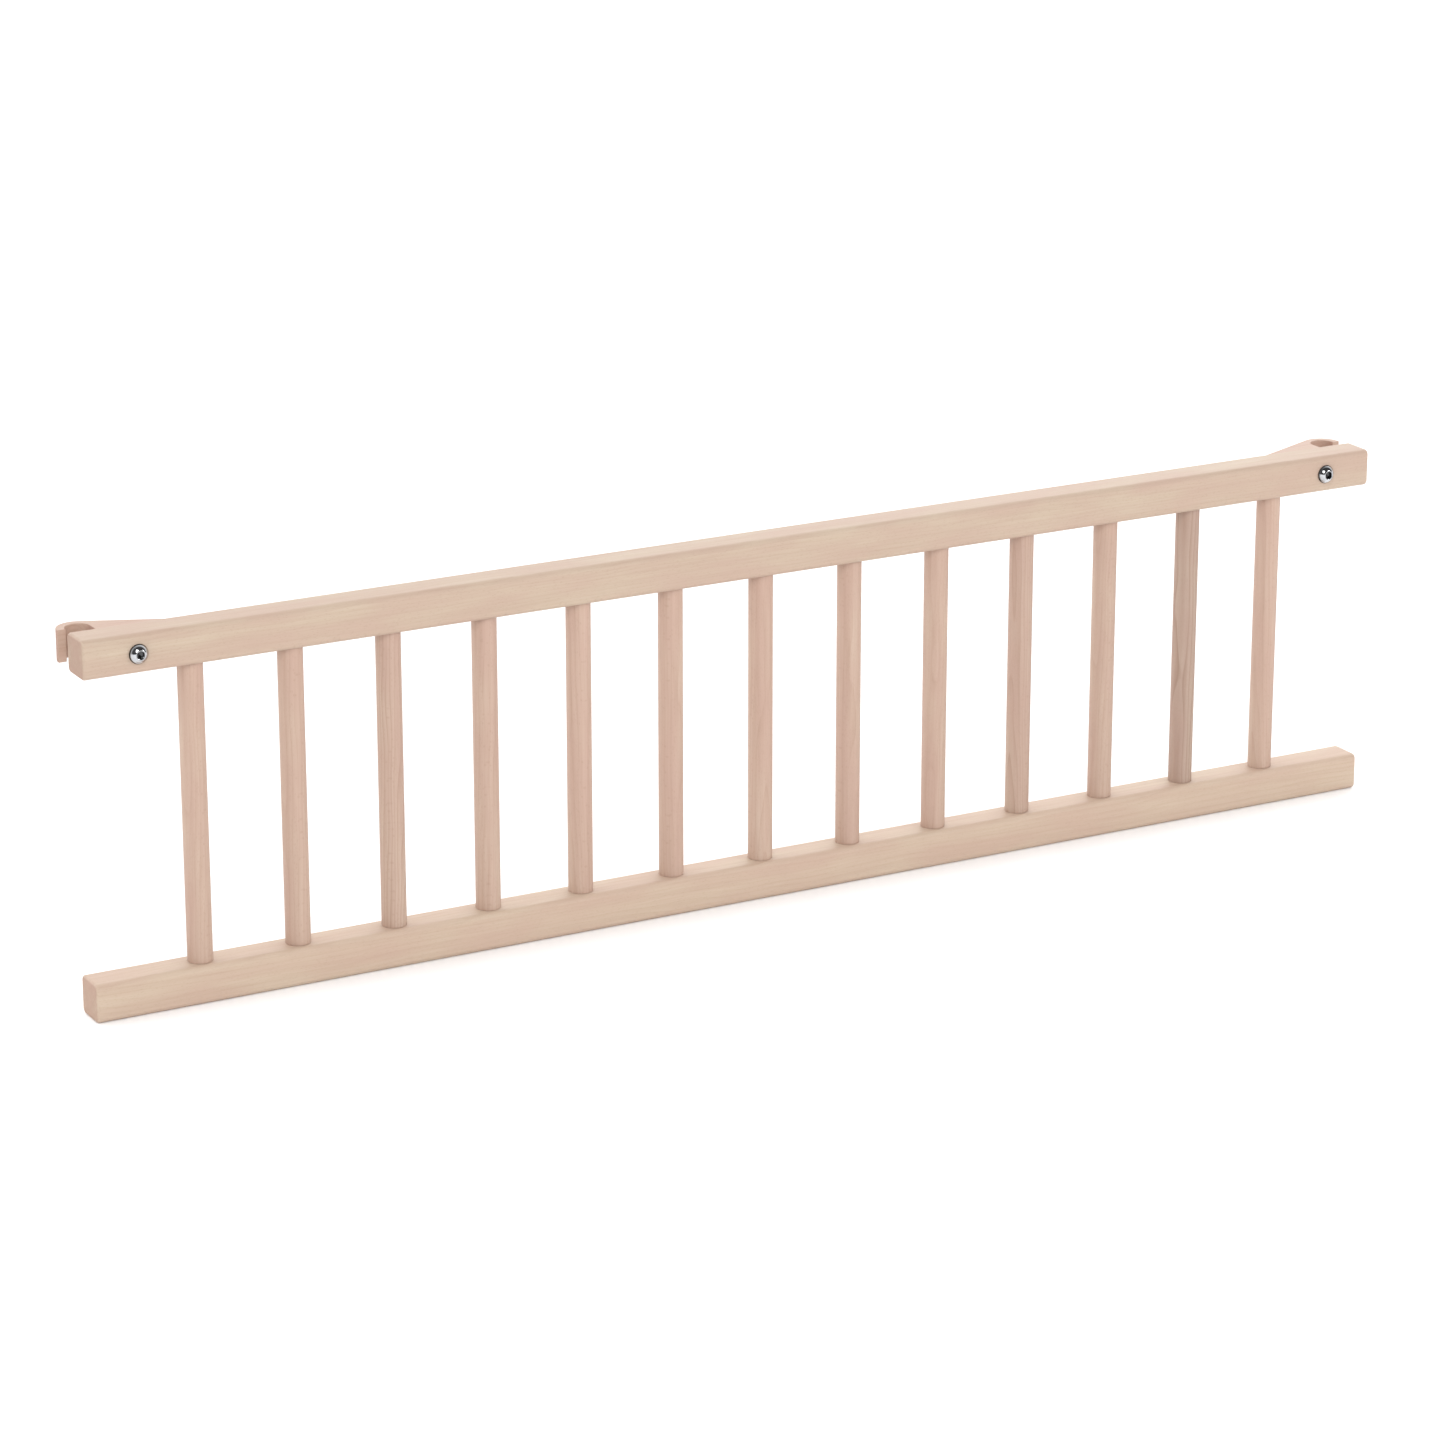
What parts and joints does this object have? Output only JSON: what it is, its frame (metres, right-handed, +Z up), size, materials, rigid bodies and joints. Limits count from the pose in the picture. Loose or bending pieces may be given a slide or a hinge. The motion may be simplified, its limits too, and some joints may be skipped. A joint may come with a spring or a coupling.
{
  "type": "safety baby gate",
  "caption": "Low wooden barrier gate for a bedside cot: two square rails joined by round spindles, with a bolted wooden hook behind each end of the top rail.",
  "frame": {"origin": "middle of the bottom rail's underside, on the rails' centre plane", "axes": "+X along the rails to the right, +Y from the front to the hooks at the back, +Z up"},
  "size_m": [1.053, 0.0614, 0.273],
  "materials": {
    "rail_wood": "unfinished beech, planed and sanded",
    "spindle_wood": "unfinished beech, turned and sanded",
    "hook_wood": "unfinished beech, sawn and sanded",
    "bright_metal": "bright plated steel"
  },
  "bodies": {
    "gate": {"top_rail": "rail_wood", "bottom_rail": "rail_wood", "spindle_1": "spindle_wood", "spindle_2": "spindle_wood", "spindle_3": "spindle_wood", "spindle_4": "spindle_wood", "spindle_5": "spindle_wood", "spindle_6": "spindle_wood", "spindle_7": "spindle_wood", "spindle_8": "spindle_wood", "spindle_9": "spindle_wood", "spindle_10": "spindle_wood", "spindle_11": "spindle_wood", "spindle_12": "spindle_wood", "spindle_13": "spindle_wood"},
    "bolt_left": {"bolt_left": "bright_metal"},
    "cap_nut_left": {"cap_nut_left": "bright_metal"},
    "hook_left": {"hook_left": "hook_wood"},
    "bolt_right": {"bolt_right": "bright_metal"},
    "cap_nut_right": {"cap_nut_right": "bright_metal"},
    "hook_right": {"hook_right": "hook_wood"}
  },
  "joints": [
    {"name": "bolt_turn_left", "type": "hinge", "parent": "gate", "child": "bolt_left", "pos_m": [-0.485, -0.014, 0.259], "axis": [0, 1, 0], "range_deg": [0, 1440]},
    {"name": "clamp_travel_left", "type": "slide", "parent": "gate", "child": "cap_nut_left", "axis": [0, 1, 0], "range_m": [0, 0.005]},
    {"name": "hook_swing_left", "type": "hinge", "parent": "cap_nut_left", "child": "hook_left", "pos_m": [-0.485, 0.014, 0.259], "axis": [0, 1, 0], "continuous": true},
    {"name": "bolt_turn_right", "type": "hinge", "parent": "gate", "child": "bolt_right", "pos_m": [0.485, -0.014, 0.259], "axis": [0, 1, 0], "range_deg": [0, 1440]},
    {"name": "clamp_travel_right", "type": "slide", "parent": "gate", "child": "cap_nut_right", "axis": [0, 1, 0], "range_m": [0, 0.005]},
    {"name": "hook_swing_right", "type": "hinge", "parent": "cap_nut_right", "child": "hook_right", "pos_m": [0.485, 0.014, 0.259], "axis": [0, 1, 0], "continuous": true}
  ],
  "couplings": [
    {"joint": "bolt_turn_left", "follows": "clamp_travel_left", "rad_per_m": 5026.5},
    {"joint": "bolt_turn_right", "follows": "clamp_travel_right", "rad_per_m": 5026.5}
  ]
}
